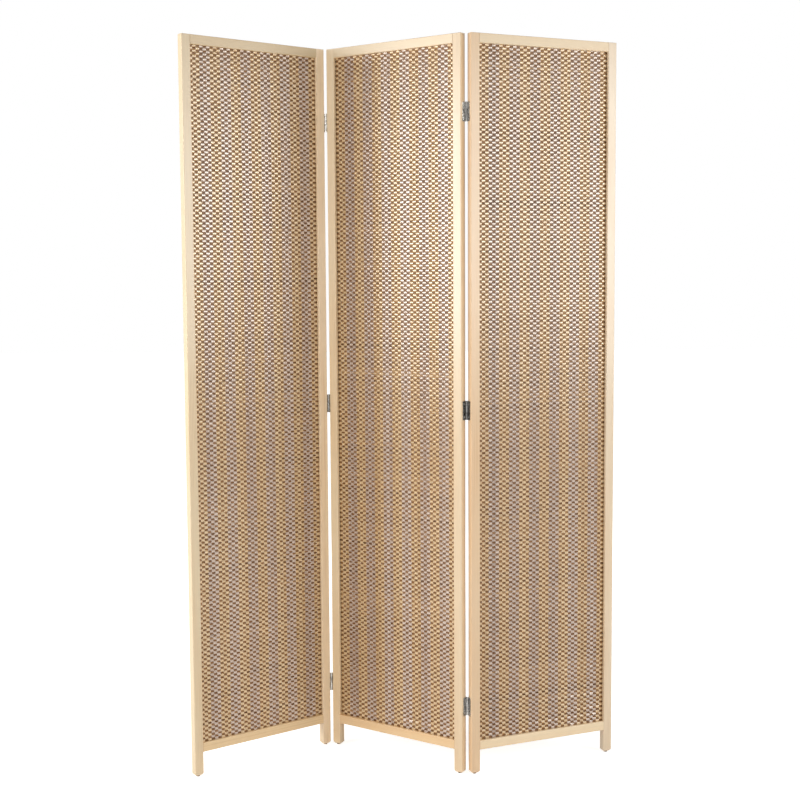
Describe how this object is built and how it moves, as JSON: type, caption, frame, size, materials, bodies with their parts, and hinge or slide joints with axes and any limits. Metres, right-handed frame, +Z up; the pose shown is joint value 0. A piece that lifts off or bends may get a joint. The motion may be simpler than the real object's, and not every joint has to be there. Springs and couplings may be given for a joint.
{
  "type": "folding screen",
  "caption": "Free-standing folding screen: hinged light-wood frames on short legs, each holding a woven bamboo mat banded in natural and grey.",
  "frame": {"origin": "floor level, at the middle of the box round the standing screen at its stored folds", "axes": "+Z up; -Y is the front that faces the viewer; +X to the viewer's right, along the spread of the panels"},
  "size_m": [1.0542, 0.2552, 1.79],
  "materials": {
    "pine": "pale pine, sanded and clear-coated, fine straight grain",
    "dowel_beech": "plain turned wood",
    "bamboo_slat": "brown stained bamboo, satin",
    "natural_strip": "natural bamboo skin, satin",
    "grey_strip": "grey dyed bamboo, satin",
    "hinge_steel": "nickel-plated pressed steel",
    "pin_steel": "nickel-plated steel",
    "screw_steel": "zinc-plated steel",
    "glide_plastic": "dull dark plastic"
  },
  "bodies": {
    "middle_panel": {"middle_left_stile": "pine", "middle_right_stile": "pine", "middle_top_rail": "pine", "middle_bottom_rail": "pine", "middle_corner_dowels": "dowel_beech", "middle_mat_slats": "bamboo_slat", "middle_mat_natural_strips": "natural_strip", "middle_mat_grey_strips": "grey_strip", "middle_glides": "glide_plastic", "left_fold_upper_fixed_leaf": "hinge_steel", "left_fold_upper_pin": "pin_steel", "left_fold_middle_fixed_leaf": "hinge_steel", "left_fold_middle_pin": "pin_steel", "left_fold_lower_fixed_leaf": "hinge_steel", "left_fold_lower_pin": "pin_steel", "right_fold_upper_fixed_leaf": "hinge_steel", "right_fold_upper_pin": "pin_steel", "right_fold_middle_fixed_leaf": "hinge_steel", "right_fold_middle_pin": "pin_steel", "right_fold_lower_fixed_leaf": "hinge_steel", "right_fold_lower_pin": "pin_steel", "left_fold_screws_middle": "screw_steel", "right_fold_screws_middle": "screw_steel"},
    "left_panel": {"left_outer_stile": "pine", "left_hinge_stile": "pine", "left_top_rail": "pine", "left_bottom_rail": "pine", "left_corner_dowels": "dowel_beech", "left_mat_slats": "bamboo_slat", "left_mat_natural_strips": "natural_strip", "left_mat_grey_strips": "grey_strip", "left_glides": "glide_plastic", "left_fold_upper_swing_leaf": "hinge_steel", "left_fold_middle_swing_leaf": "hinge_steel", "left_fold_lower_swing_leaf": "hinge_steel", "left_fold_screws_left": "screw_steel"},
    "right_panel": {"right_hinge_stile": "pine", "right_outer_stile": "pine", "right_top_rail": "pine", "right_bottom_rail": "pine", "right_corner_dowels": "dowel_beech", "right_mat_slats": "bamboo_slat", "right_mat_natural_strips": "natural_strip", "right_mat_grey_strips": "grey_strip", "right_glides": "glide_plastic", "right_fold_upper_swing_leaf": "hinge_steel", "right_fold_middle_swing_leaf": "hinge_steel", "right_fold_lower_swing_leaf": "hinge_steel", "right_fold_screws_right": "screw_steel"}
  },
  "joints": [
    {"name": "left_fold", "type": "hinge", "parent": "middle_panel", "child": "left_panel", "pos_m": [-0.19389, 0.11219, 0.9], "axis": [0, 0, 1], "range_deg": [-72, 108]},
    {"name": "right_fold", "type": "hinge", "parent": "middle_panel", "child": "right_panel", "pos_m": [0.15041, -0.10081, 0.9], "axis": [0, 0, 1], "range_deg": [-58.5, 121.5]}
  ]
}
